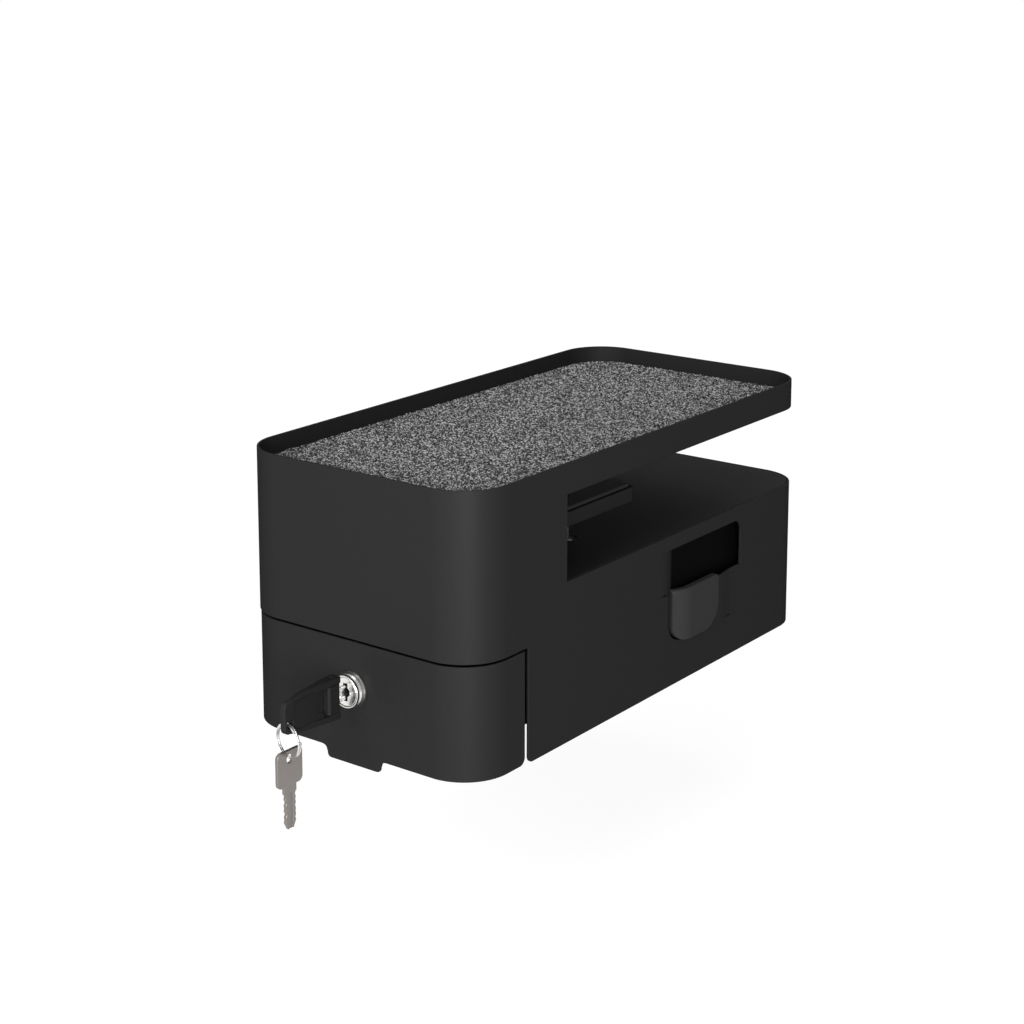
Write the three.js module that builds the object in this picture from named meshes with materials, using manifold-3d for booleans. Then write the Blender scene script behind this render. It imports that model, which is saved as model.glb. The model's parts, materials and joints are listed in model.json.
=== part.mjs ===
// Desktop locker: a folded sheet-steel body that slides over a desk edge.
// A felt-lined tray lies on the desk, and a locking drawer hangs below it.
// Millimetres. X runs across the width and Y from front to rear.
// Z runs up from the underside of the tray, which is the top of the desk.

import * as THREE from 'three';
import { mergeVertices } from 'three/addons/utils/BufferGeometryUtils.js';
import Module from 'manifold-3d';

const wasm = await Module();
wasm.setup();

// Body sheet: overall size, folds and the slot for the desk
const bodyWidth = 175;
const bodyDepth = 362;
const planRadius = 30;
const sheet = 1.5;
const trayHeight = 18.3;
const recessDepth = 10.9;
const throatHeight = 51.3;
const stopDepth = 86.2;
const housingHeight = 96.6;

// Clearances
const seat = 0.3;
const over = 5;

// Tray lining and the pad that lies on the desk
const feltThickness = 2;
const padMargin = 3;

// Opening for the drawer in the front of the body
const openingHeight = 68.4;
const openingDepth = 49.4;
const openingCorner = 4;

// Drawer front
const frontInset = 0.6;
const frontSheet = 1.5;
const frontTopGap = 1.6;
const frontSideGap = 2.4;
const frontLift = 0.3;
const wingCorner = 4.5;
const tabWidth = 43;
const tabDrop = 7;
const tabTaper = 1.6;
const tabCorner = 3.2;

// Drawer box
const boxSheet = 1;
const boxHeight = 45.5;
const boxLift = 13.2;
const boxRearGap = 26;
const boxCutWidth = 10;
const boxCutDepth = 7;

// Three-member drawer slides and the brackets that carry them
const railSheet = 1;
const railHeight = 34;
const railThickness = 9.6;
const railPlay = 0.6;
const railFrontDepth = 14;
const railLength = 320;
const railDrop = 60.7;
const bracketGap = 6.3;
const bracketFlange = 18;
const bracketFront = 22;
const bracketTail = 6;

// Clamp below the desk
const deskThickness = 25;
const clampPadThickness = 2;
const clampPadInset = 2;
const clampPlateThickness = 3;
const clampPlateWidth = 110;
const clampPlateDepth = 100;
const clampPlateFront = 18;
const clampSkirt = 6;
const screwSpacing = 70;
const screwRadius = 4;
const screwLength = 36;
const screwHeadFlats = 13;
const screwHeadHeight = 5.5;
const bushRadius = 12;
const bushHeight = 7.5;
const bushOpening = 9;
const threadPlay = 0.45;

// Lock in the drawer front
const lockHeight = 39;
const bezelRadius = 11;
const bezelFaceRadius = 9.5;
const bezelStand = 6.8;
const bezelRim = 0.8;
const barrelRadius = 9.3;
const barrelFlat = 8.3;
const barrelLength = 19.4;
const plugRadius = 7.4;
const plugFaceRadius = 8.4;
const plugFlange = 2;
const plugRecess = 0.3;
const studRadius = 3.4;
const keywayHeight = 10.4;
const keywayNeck = 1.8;
const keywayReach = 3.4;
const keywayBend = 2.6;
const keywayWaist = 1.3;
const keywayDepth = 14;
const lockNutFlats = 24;
const lockNutThickness = 4;
const camReach = 33;
const camWidth = 14;
const camThickness = 2;
const camGap = 0.4;
const camNutFlats = 10;
const camNutThickness = 3;

// Keeper behind the front wall, which the cam turns up behind
const keeperWidth = 34;
const keeperFlange = 12;
const keeperLap = 4.4;
const keeperGap = 1.2;

// Key in the lock: blade, pivot block and folding head
const bladeThickness = 1.9;
const bladeWidth = 8.4;
const bladeInside = 11;
const keyStand = 7.3;
const blockLength = 9.8;
const blockHeight = 16.4;
const bladeSocket = 2.1;
const headThickness = 7;
const headTailThickness = 3.6;
const headWeb = 2.6;
const headSlope = 13;
const headBand = 4.9;
const headRim = 2.2;
const headLength = 43.7;
const headHeight = 24.6;
const headTailHeight = 18.4;
const headTaperStart = 28;
const headShoulder = 0.9;
const headCorner = 4;
const scoopRadius = 6.2;
const scoopWeb = 1.4;
const pinRadius = 1.1;
const pinSink = 0.5;
const ringHoleRadius = 2.7;
const ringHoleInset = 4.2;
const ringHoleRise = 5.8;

// Split ring and spare key
const ringRadius = 9.6;
const ringYaw = -10;
const ringWire = 0.9;
const ringPitch = 1.2;
const ringHang = 0.3;
const ringTurns = 1.9;
const ringStart = 45;
const spareThickness = 2;
const spareHeadWidth = 19.8;
const spareHeadHeight = 20.5;
const spareHeadCorner = 3.2;
const spareHoleRadius = 2.6;
const spareHoleEdge = 2.3;
const spareHang = 0.5;
const spareNeckWidth = 9.6;
const spareNeckHeight = 4.2;
const spareBladeWidth = 8.2;
const spareBladeLength = 21;
const spareTeeth = 5;
const spareToothDepth = 0.8;
const spareToothFlat = 0.7;
const spareTipWidth = 4.1;
const spareGroove = 3.2;
const spareGrooveDepth = 0.6;

// Bag hook cut from the right side panel, and its moulded cap
const hookWindowFront = 193.3;
const hookWindowRear = 278;
const hookWindowHeight = 30;
const hookWindowCorner = 8;
const hookScoopFront = 184.2;
const hookScoopRise = 2.6;
const hookScoopFoot = 1.2;
const hookTop = 38.9;
const hookHeight = 30.5;
const hookSlit = 0.7;
const hookSlitCurve = 19;
const hookSlitRise = 13;
const hookTip = 201.5;
const hookBend = 214;
const hookRise = 250;
const hookRoot = 268;
const hookBulge = 1.8;
const hookCurl = 4.4;
const hookCornerRadius = 8;
const capThickness = 1.7;
const capRear = 246;
const capRearCorner = 16;
const capInsideDrop = 12;
const capBevel = 1.4;
const lipRadius = 40;
const lipSweep = 30;

// How finely curves are cut
const cornerSteps = 12;
const holeSteps = 20;
const turnSteps = 40;
const smallSteps = 6;
const hookSteps = 34;
const weldTolerance = 1e-5;

// Levels and places that follow from the sizes above
const rimTop = trayHeight;
const feltTop = rimTop - recessDepth;
const floorTop = feltTop - feltThickness - seat;
const floorBottom = floorTop - sheet;
const housingTop = -throatHeight;
const lowerEdge = housingTop - housingHeight;
const seamLevel = lowerEdge + openingHeight;
const frontBottom = lowerEdge + frontLift;
const frontTop = seamLevel - frontTopGap;
const wingDepth = openingDepth - frontSideGap;
const frontBack = frontInset + frontSheet;
const boxFront = frontBack + seat;
const boxRear = bodyDepth - sheet - boxRearGap;
const boxBottom = lowerEdge + boxLift;
const boxTop = boxBottom + boxHeight;
const lockLevel = lowerEdge + lockHeight;
const restDepth = (stopDepth + bodyDepth) / 2;
const halfWidth = bodyWidth / 2;

// Finishes
const finishes = {
  powderBlack: { color: 0x26272a, roughness: 0.55, metalness: 0.3 },
  feltGrey: { color: 0x6d6e70, roughness: 1, metalness: 0 },
  padBlack: { color: 0x161617, roughness: 0.95, metalness: 0 },
  zinc: { color: 0xa9adb2, roughness: 0.35, metalness: 0.9 },
  satinChrome: { color: 0xc9cbcd, roughness: 0.25, metalness: 1 },
  nickelSilver: { color: 0x9b9189, roughness: 0.4, metalness: 0.9 },
  mouldedBlack: { color: 0x1d1d1f, roughness: 0.45, metalness: 0 },
};

// Solids: closed geometry in, joined or cut solid out

function toSolid(geometry) {
  const bare = geometry.clone();
  bare.deleteAttribute('normal');
  bare.deleteAttribute('uv');
  const merged = mergeVertices(bare, weldTolerance);
  return new wasm.Manifold(new wasm.Mesh({
    numProp: 3,
    vertProperties: new Float32Array(merged.attributes.position.array),
    triVerts: new Uint32Array(merged.index.array),
  }));
}

function toGeometry(solid) {
  const data = solid.getMesh();
  const geometry = new THREE.BufferGeometry();
  geometry.setAttribute('position', new THREE.BufferAttribute(new Float32Array(data.vertProperties), 3));
  geometry.setIndex(new THREE.BufferAttribute(new Uint32Array(data.triVerts), 1));
  geometry.computeVertexNormals();
  return geometry;
}

// A plan outline drawn in X and Y, extruded upward from one level to another
function upright(shape, low, high, steps = cornerSteps) {
  const geometry = new THREE.ExtrudeGeometry(shape, {
    depth: high - low, bevelEnabled: false, curveSegments: steps,
  });
  geometry.translate(0, 0, low);
  return toSolid(geometry);
}

// A side outline drawn in Y and Z, extruded across the width
function across(shape, left, right, steps = cornerSteps) {
  const geometry = new THREE.ExtrudeGeometry(shape, {
    depth: right - left, bevelEnabled: false, curveSegments: steps,
  });
  const turn = new THREE.Matrix4().set(0, 0, 1, left, 1, 0, 0, 0, 0, 1, 0, 0, 0, 0, 0, 1);
  geometry.applyMatrix4(turn);
  return toSolid(geometry);
}

// A front outline drawn in X and Z, extruded from a front to a rear depth
function inward(shape, front, rear, steps = cornerSteps) {
  const geometry = new THREE.ExtrudeGeometry(shape, {
    depth: rear - front, bevelEnabled: false, curveSegments: steps,
  });
  geometry.rotateX(Math.PI / 2);
  geometry.translate(0, rear, 0);
  return toSolid(geometry);
}

function block(x0, x1, y0, y1, z0, z1) {
  const geometry = new THREE.BoxGeometry(x1 - x0, y1 - y0, z1 - z0);
  geometry.translate((x0 + x1) / 2, (y0 + y1) / 2, (z0 + z1) / 2);
  return toSolid(geometry);
}

// A turned piece on the Y axis from radius and depth pairs, listed outside first
function turned(profile, steps = turnSteps) {
  const points = profile.map(([radius, y]) => new THREE.Vector2(radius, y));
  return toSolid(new THREE.LatheGeometry(points, steps));
}

function turnedUpright(profile, x, y, steps = turnSteps) {
  const points = profile.map(([radius, z]) => new THREE.Vector2(radius, z));
  const geometry = new THREE.LatheGeometry(points, steps);
  geometry.rotateX(Math.PI / 2);
  geometry.translate(x, y, 0);
  return toSolid(geometry);
}

// Outlines

function polygon(points) {
  const shape = new THREE.Shape();
  points.forEach(([u, v], index) => (index ? shape.lineTo(u, v) : shape.moveTo(u, v)));
  shape.closePath();
  return shape;
}

function roundedBox(u0, u1, v0, v1, radius) {
  const quarter = Math.PI / 2;
  const shape = new THREE.Shape();
  shape.moveTo(u0 + radius, v0);
  shape.lineTo(u1 - radius, v0);
  shape.absarc(u1 - radius, v0 + radius, radius, -quarter, 0, false);
  shape.lineTo(u1, v1 - radius);
  shape.absarc(u1 - radius, v1 - radius, radius, 0, quarter, false);
  shape.lineTo(u0 + radius, v1);
  shape.absarc(u0 + radius, v1 - radius, radius, quarter, 2 * quarter, false);
  shape.lineTo(u0, v0 + radius);
  shape.absarc(u0 + radius, v0 + radius, radius, 2 * quarter, 3 * quarter, false);
  return shape;
}

function disc(u, v, radius) {
  const shape = new THREE.Shape();
  shape.absarc(u, v, radius, 0, 2 * Math.PI, false);
  return shape;
}

// The plan of the body, drawn in from its outer face by an inset
function plan(inset) {
  return roundedBox(-halfWidth + inset, halfWidth - inset, inset, bodyDepth - inset, planRadius - inset);
}

function hexagon(u, v, flats) {
  const corner = flats / Math.sqrt(3);
  const points = [];
  for (let side = 0; side < 6; side += 1) {
    const angle = (side * Math.PI) / 3;
    points.push([u + corner * Math.cos(angle), v + corner * Math.sin(angle)]);
  }
  return polygon(points);
}

const locker = new THREE.Group();
locker.position.set(0, -restDepth, 0);

function add(name, solid, finish) {
  const mesh = new THREE.Mesh(toGeometry(solid), new THREE.MeshStandardMaterial(finishes[finish]));
  mesh.name = name;
  locker.add(mesh);
  return mesh;
}

// Body shell with the desk slot, the drawer opening and the lanced hook

const panelIn = halfWidth - sheet;
const hookTopLevel = housingTop - hookTop;
const hookLowLevel = hookTopLevel - hookHeight;

// How far the tongue's face stands out of the side panel at a depth
function hookShift(depth) {
  const { clamp, smoothstep } = THREE.MathUtils;
  const curl = clamp((hookBend - depth) / (hookBend - hookTip), 0, 1);
  return hookBulge * (1 - smoothstep(depth, hookRise, hookRoot)) - (hookCurl + capThickness) * curl * curl;
}

// A section in X and Z, X counted from the panel's face, swept along the tongue
function alongHook(points) {
  const section = polygon(points.map(([x, z]) => [halfWidth + x, z]));
  const geometry = new THREE.ExtrudeGeometry(section, {
    depth: hookRoot - hookTip, steps: hookSteps, bevelEnabled: false,
  });
  geometry.rotateX(Math.PI / 2);
  geometry.translate(0, hookRoot, 0);
  const places = geometry.attributes.position;
  for (let index = 0; index < places.count; index += 1) {
    places.setX(index, places.getX(index) + hookShift(places.getY(index)));
  }
  return toSolid(geometry);
}

function hookWindow() {
  const quarter = Math.PI / 2;
  const rear = hookWindowRear;
  const top = hookTopLevel + hookWindowHeight;
  const low = hookLowLevel - hookSlit;
  const radius = hookWindowCorner;
  const shape = new THREE.Shape();
  shape.moveTo(hookRoot, low);
  shape.lineTo(hookRoot, hookTopLevel);
  shape.lineTo(rear, hookTopLevel);
  shape.lineTo(rear, top - radius);
  shape.absarc(rear - radius, top - radius, radius, 0, quarter, false);
  shape.lineTo(hookScoopFront, top);
  shape.lineTo(hookScoopFront, hookTopLevel + hookScoopRise);
  shape.lineTo(hookWindowFront, hookTopLevel + hookScoopFoot);
  shape.lineTo(hookWindowFront, low + hookSlitRise);
  shape.absellipse(hookWindowFront + hookSlitCurve, low + hookSlitRise, hookSlitCurve, hookSlitRise,
    2 * quarter, 3 * quarter, false, 0);
  return across(shape, panelIn - over, halfWidth + over);
}

// The scoop: the window's front edge curves inward, so that a strap slides in without catching
function hookScoop() {
  const sweep = THREE.MathUtils.degToRad(lipSweep);
  const centre = halfWidth - lipRadius;
  const shape = new THREE.Shape();
  shape.absarc(centre, hookScoopFront, lipRadius, -sweep / cornerSteps, sweep, false);
  shape.absarc(centre, hookScoopFront, lipRadius - sheet, sweep, -sweep / cornerSteps, true);
  const strip = upright(shape, hookTopLevel + hookScoopRise, hookTopLevel + hookWindowHeight);
  return strip.intersect(block(0, halfWidth, 0, bodyDepth, lowerEdge, 0));
}

function bodyShell() {
  const outer = upright(plan(0), lowerEdge, rimTop);
  const inner = upright(plan(sheet), lowerEdge - over, rimTop + over);
  const slot = block(-halfWidth - over, halfWidth + over, stopDepth, bodyDepth + over, housingTop, 0);
  const cut = new THREE.Shape();
  cut.moveTo(-over, lowerEdge - over);
  cut.lineTo(openingDepth + openingCorner, lowerEdge - over);
  cut.lineTo(openingDepth + openingCorner, lowerEdge);
  cut.absarc(openingDepth + openingCorner, lowerEdge + openingCorner, openingCorner, -Math.PI / 2, Math.PI, true);
  cut.lineTo(openingDepth, seamLevel);
  cut.lineTo(-over, seamLevel);
  const opening = across(cut, -halfWidth - over, halfWidth + over);
  const corner = roundedBox(hookTip, hookRoot + 2 * over, hookLowLevel, hookTopLevel + 2 * over, hookCornerRadius);
  const tongue = alongHook([
    [-sheet, hookLowLevel], [0, hookLowLevel], [0, hookTopLevel], [-sheet, hookTopLevel],
  ]).intersect(across(corner, 0, bodyWidth));
  const root = block(panelIn, halfWidth, hookRoot - seat, hookRoot + over, hookLowLevel, hookTopLevel);
  return outer.subtract(inner).subtract(slot).subtract(opening).subtract(hookWindow())
    .add(tongue).add(root).add(hookScoop());
}

add('body_shell', bodyShell(), 'powderBlack');

// Hook cap: a moulded channel over the top edge and both faces of the tongue
function hookCap() {
  const quarter = Math.PI / 2;
  const top = hookTopLevel + seat + capThickness;
  const low = hookLowLevel - seat;
  const face = seat + capThickness;
  const back = -sheet - seat;
  const channel = alongHook([
    [seat, low], [face, low], [face, top - capBevel], [face - capBevel, top], [back - capThickness, top],
    [back - capThickness, top - capInsideDrop], [back, top - capInsideDrop], [back, hookTopLevel + seat],
    [seat, hookTopLevel + seat]]);
  const outline = new THREE.Shape();
  outline.moveTo(hookTip + hookCornerRadius, low);
  outline.lineTo(capRear - capRearCorner, low);
  outline.absarc(capRear - capRearCorner, low + capRearCorner, capRearCorner, -quarter, 0, false);
  outline.lineTo(capRear, top + over);
  outline.lineTo(hookTip, top + over);
  outline.lineTo(hookTip, low + hookCornerRadius);
  outline.absarc(hookTip + hookCornerRadius, low + hookCornerRadius, hookCornerRadius,
    2 * quarter, 3 * quarter, false);
  return channel.intersect(across(outline, 0, bodyWidth));
}

add('hook_cap', hookCap(), 'mouldedBlack');

// Tray floor, felt and the pad that lies on the desk

add('tray_floor', upright(plan(sheet + seat), floorBottom, floorTop), 'powderBlack');
add('tray_felt', upright(plan(sheet + seat), feltTop - feltThickness, feltTop), 'feltGrey');

function deskPad() {
  const full = upright(plan(sheet + padMargin), 0, floorBottom - seat);
  return full.intersect(block(-halfWidth, halfWidth, stopDepth + padMargin, bodyDepth, -over, rimTop));
}

add('desk_pad', deskPad(), 'padBlack');

// Slot liner: the stop plate at the desk edge and the plate that closes the housing
const clampY = stopDepth + clampPlateFront + clampPlateDepth / 2;
const screwPlaces = [-screwSpacing / 2, screwSpacing / 2];

function slotLiner() {
  const profile = polygon([
    [stopDepth - sheet, housingTop - sheet], [bodyDepth, housingTop - sheet], [bodyDepth, housingTop],
    [stopDepth, housingTop], [stopDepth, floorBottom - seat], [stopDepth - sheet, floorBottom - seat]]);
  let liner = across(profile, -halfWidth, halfWidth);
  liner = liner.intersect(upright(plan(sheet + seat), lowerEdge, rimTop));
  for (const x of screwPlaces) {
    liner = liner.subtract(upright(disc(x, clampY, bushOpening), housingTop - over, 0, holeSteps));
  }
  return liner;
}

add('slot_liner', slotLiner(), 'powderBlack');

// Clamp: threaded bushes under the liner, screws, plate and pad
const padTop = -deskThickness;
const plateTop = padTop - clampPadThickness - seat;
const plateBottom = plateTop - clampPlateThickness;
const screwTip = plateBottom - seat;
const bushTop = housingTop - sheet - seat;

screwPlaces.forEach((x, index) => {
  const bore = screwRadius + threadPlay;
  const bush = turnedUpright([
    [bore, bushTop - bushHeight], [bushRadius, bushTop - bushHeight], [bushRadius, bushTop],
    [bore, bushTop], [bore, bushTop - bushHeight]], x, clampY);
  add(`clamp_bush_${index + 1}`, bush, 'zinc');

  const headTop = screwTip - screwLength;
  const shank = turnedUpright([
    [0, headTop - seat], [screwRadius, headTop - seat], [screwRadius, screwTip - seat],
    [screwRadius - seat, screwTip], [0, screwTip]], x, clampY);
  const head = upright(hexagon(x, clampY, screwHeadFlats), headTop - screwHeadHeight, headTop);
  add(`clamp_screw_${index + 1}`, shank.add(head), 'zinc');
});

function clampPlate() {
  const half = clampPlateWidth / 2;
  const front = clampY - clampPlateDepth / 2;
  const rear = clampY + clampPlateDepth / 2;
  const outline = roundedBox(-half, half, front, rear, openingCorner);
  const hollow = roundedBox(-half + sheet, half - sheet, front + sheet, rear - sheet, openingCorner - sheet);
  let plate = upright(outline, plateBottom - clampSkirt, plateTop, smallSteps);
  plate = plate.subtract(upright(hollow, plateBottom - clampSkirt - over, plateBottom, smallSteps));
  for (const x of screwPlaces) {
    const cup = turnedUpright([
      [screwRadius + seat, plateBottom - clampSkirt], [screwRadius + seat + sheet, plateBottom - clampSkirt],
      [screwRadius + seat + sheet, plateBottom + seat], [screwRadius + seat, plateBottom + seat],
      [screwRadius + seat, plateBottom - clampSkirt]], x, clampY);
    plate = plate.add(cup);
  }
  return plate;
}

add('clamp_plate', clampPlate(), 'powderBlack');

const padHalf = clampPlateWidth / 2 - clampPadInset;
const padFront = clampY - clampPlateDepth / 2 + clampPadInset;
const padRear = clampY + clampPlateDepth / 2 - clampPadInset;
add('clamp_pad', upright(roundedBox(-padHalf, padHalf, padFront, padRear, openingCorner),
  padTop - clampPadThickness, padTop, smallSteps), 'padBlack');

// Drawer front with its wrapped corners and pull tab

function drawerFront() {
  const outer = upright(plan(frontInset), frontBottom, frontTop);
  const inner = upright(plan(frontInset + frontSheet), frontBottom - over, frontTop + over);
  const wing = new THREE.Shape();
  wing.moveTo(-over, frontBottom - over);
  wing.lineTo(-over, frontTop);
  wing.lineTo(wingDepth, frontTop);
  wing.lineTo(wingDepth, frontBottom + wingCorner);
  wing.absarc(wingDepth - wingCorner, frontBottom + wingCorner, wingCorner, 0, -Math.PI / 2, true);
  wing.lineTo(wingDepth - wingCorner - over, frontBottom);
  wing.lineTo(wingDepth - wingCorner - over, frontBottom - over);
  const front = outer.subtract(inner).intersect(across(wing, -halfWidth, halfWidth));
  const half = tabWidth / 2;
  const tab = new THREE.Shape();
  const low = frontBottom - tabDrop;
  tab.moveTo(-half - tabCorner, frontBottom + frontSheet);
  tab.lineTo(-half - tabCorner, frontBottom);
  tab.quadraticCurveTo(-half, frontBottom, -half + tabTaper / 2, frontBottom - tabCorner / 2);
  tab.lineTo(-half + tabTaper, low + tabCorner);
  tab.quadraticCurveTo(-half + tabTaper, low, -half + tabTaper + tabCorner, low);
  tab.lineTo(half - tabTaper - tabCorner, low);
  tab.quadraticCurveTo(half - tabTaper, low, half - tabTaper, low + tabCorner);
  tab.lineTo(half - tabTaper / 2, frontBottom - tabCorner / 2);
  tab.quadraticCurveTo(half, frontBottom, half + tabCorner, frontBottom);
  tab.lineTo(half + tabCorner, frontBottom + frontSheet);
  const lockHole = inward(disc(0, lockLevel, barrelRadius + seat), -over, frontBack + over, holeSteps);
  return front.add(inward(tab, frontInset, frontBack, smallSteps)).subtract(lockHole);
}

add('drawer_front', drawerFront(), 'powderBlack');

// Slides and box share the width between the side panels
const railOuter = panelIn - bracketGap - sheet - seat;
const railInner = railOuter - railThickness;
const boxHalf = railInner - seat;

// Drawer box of five panels: its front corners are cut, to clear the rounded corners of the front
function boxCorners(inset) {
  const half = boxHalf - inset;
  const front = boxFront + inset;
  return [
    [-half, front + boxCutDepth], [-half + boxCutWidth, front],
    [half - boxCutWidth, front], [half, front + boxCutDepth]];
}

function boxNose() {
  const wall = upright(polygon([...boxCorners(0), ...boxCorners(boxSheet).reverse()]), boxBottom, boxTop);
  return wall.subtract(inward(disc(0, lockLevel, barrelRadius + seat), -over, boxFront + over, holeSteps));
}

const boxInside = boxHalf - boxSheet - seat;
const floorRear = boxRear - boxSheet - seat;
const floorPlan = polygon([[-boxInside, floorRear], ...boxCorners(boxSheet + seat), [boxInside, floorRear]]);
const sideFront = boxFront + boxCutDepth + boxSheet + seat;
add('drawer_nose', boxNose(), 'powderBlack');
add('drawer_floor', upright(floorPlan, boxBottom, boxBottom + boxSheet), 'powderBlack');
add('drawer_back', block(-boxInside, boxInside, boxRear - boxSheet, boxRear, boxBottom, boxTop), 'powderBlack');
add('drawer_side_left', block(-boxHalf, boxSheet - boxHalf, sideFront, boxRear, boxBottom, boxTop), 'powderBlack');
add('drawer_side_right', block(boxHalf - boxSheet, boxHalf, sideFront, boxRear, boxBottom, boxTop), 'powderBlack');

// Slides: outer, middle and inner members nest as channels on each side of the box
const railLevel = housingTop - railDrop;
const railRear = railFrontDepth + railLength;

// A channel section seen from the front: its web stands at one depth and its flanges reach to another
function channel(side, webFace, flangeEnd, halfHeight) {
  const thickness = Math.sign(flangeEnd - webFace) * railSheet;
  const points = [
    [webFace, -halfHeight], [flangeEnd, -halfHeight], [flangeEnd, -halfHeight + railSheet],
    [webFace + thickness, -halfHeight + railSheet], [webFace + thickness, halfHeight - railSheet],
    [flangeEnd, halfHeight - railSheet], [flangeEnd, halfHeight], [webFace, halfHeight]];
  const section = polygon(points.map(([x, z]) => [side * x, railLevel + z]));
  return inward(section, railFrontDepth, railRear);
}

const memberStep = railSheet + railPlay;
const brackets = [['left', -1], ['right', 1]];
for (const [word, side] of brackets) {
  const half = railHeight / 2;
  add(`rail_outer_${word}`, channel(side, railOuter, railInner + 2 * memberStep, half), 'zinc');
  add(`rail_middle_${word}`,
    channel(side, railOuter - memberStep, railInner + memberStep, half - memberStep), 'zinc');
  add(`rail_inner_${word}`,
    channel(side, railInner, railOuter - 2 * memberStep, half - 2 * memberStep), 'zinc');
  const web = railOuter + seat;
  const flangeTop = housingTop - sheet - seat;
  const foot = railLevel - half;
  const section = polygon([
    [web, foot], [web + sheet, foot], [web + sheet, flangeTop], [web + sheet - bracketFlange, flangeTop],
    [web + sheet - bracketFlange, flangeTop - sheet], [web, flangeTop - sheet]].map(([x, z]) => [side * x, z]));
  add(`rail_bracket_${word}`, inward(section, bracketFront, railRear + bracketTail), 'powderBlack');
}

// Lock body: flared bezel outside, flatted barrel through the front and the box
const bezelFace = frontInset - bezelStand;
const barrelEnd = frontInset + barrelLength;

function atLock(solid) {
  return solid.translate(0, 0, lockLevel);
}

function lockBody() {
  const bore = plugRadius + seat;
  const counterbore = plugFaceRadius + seat;
  const ledge = bezelFace + plugRecess + plugFlange + seat;
  const body = turned([
    [counterbore, bezelFace], [counterbore, ledge], [bore, ledge], [bore, barrelEnd], [barrelRadius, barrelEnd],
    [barrelRadius, frontInset - seat], [bezelRadius, frontInset - seat],
    [bezelRadius, frontInset - seat - bezelRim], [bezelFaceRadius, bezelFace + seat],
    [bezelFaceRadius - seat, bezelFace], [counterbore, bezelFace]].reverse());
  let shaped = body;
  for (const side of [-1, 1]) {
    const near = Math.min(side * barrelFlat, side * bezelRadius);
    const far = Math.max(side * barrelFlat, side * bezelRadius);
    shaped = shaped.subtract(block(near, far, frontInset, barrelEnd + over, -bezelRadius, bezelRadius));
  }
  return atLock(shaped);
}

add('lock_body', lockBody(), 'satinChrome');

// Plug: its keyway widens to one side at mid height, as a warded keyway does
const plugFace = bezelFace + plugRecess;
const studStart = barrelEnd + seat;
const camFront = studStart + camGap;
const camBack = camFront + camThickness;
const camNutBack = camBack + seat + camNutThickness;

function keyway() {
  const half = keywayHeight / 2;
  const left = -bladeThickness / 2 - seat;
  return polygon([
    [left, -half], [keywayNeck, -half], [keywayNeck, -keywayBend], [keywayReach, -keywayWaist],
    [keywayReach, keywayWaist], [keywayNeck, keywayBend], [keywayNeck, half], [left, half]]);
}

function lockPlug() {
  const flangeBack = plugFace + plugFlange;
  const plug = turned([
    [0, plugFace], [plugFaceRadius - seat, plugFace], [plugFaceRadius, plugFace + seat],
    [plugFaceRadius, flangeBack], [plugRadius, flangeBack], [plugRadius, studStart],
    [studRadius, studStart], [studRadius, camNutBack + seat], [0, camNutBack + seat]]);
  return atLock(plug.subtract(inward(keyway(), plugFace - over, plugFace + keywayDepth)));
}

add('lock_plug', lockPlug(), 'satinChrome');

const nutFront = boxFront + boxSheet + seat;
add('lock_nut', atLock(inward(hexagon(0, 0, lockNutFlats), nutFront, nutFront + lockNutThickness)
  .subtract(inward(disc(0, 0, barrelRadius + seat), 0, nutFront + lockNutThickness + over, holeSteps))), 'zinc');

// Cam: lies to the left while the keyway is upright, and turns up behind the keeper
function lockCam() {
  const half = camWidth / 2;
  const shape = new THREE.Shape();
  shape.moveTo(-camReach, -half / 2);
  shape.lineTo(-camReach, half / 2);
  shape.lineTo(-half, half);
  shape.lineTo(0, half);
  shape.absarc(0, 0, half, Math.PI / 2, -Math.PI / 2, true);
  shape.lineTo(-half, -half);
  const hole = inward(disc(0, 0, studRadius + seat), camFront - over, camBack + over, holeSteps);
  return atLock(inward(shape, camFront, camBack).subtract(hole));
}

add('lock_cam', lockCam(), 'zinc');
add('cam_nut', atLock(inward(hexagon(0, 0, camNutFlats), camBack + seat, camNutBack)
  .subtract(inward(disc(0, 0, studRadius + seat), camFront, camNutBack + over, holeSteps))), 'zinc');

// Keeper: a Z-shaped plate on the front wall, its lip in front of the raised cam
function camKeeper() {
  const front = sheet + seat;
  const lipBack = camFront - keeperGap;
  const camTip = lockLevel + camReach;
  const lipLow = camTip - keeperLap;
  const webLow = camTip + seat;
  const profile = polygon([
    [front, webLow], [lipBack - sheet, webLow], [lipBack - sheet, lipLow], [lipBack, lipLow],
    [lipBack, webLow + sheet], [front + sheet, webLow + sheet], [front + sheet, webLow + keeperFlange],
    [front, webLow + keeperFlange]]);
  return across(profile, -keeperWidth / 2, keeperWidth / 2);
}

add('cam_keeper', camKeeper(), 'zinc');

// Key blade and the block that its head folds on
const blockFront = plugFace - keyStand;
const blockBack = blockFront - blockLength;
const pivotDepth = (blockFront + blockBack) / 2;

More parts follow.
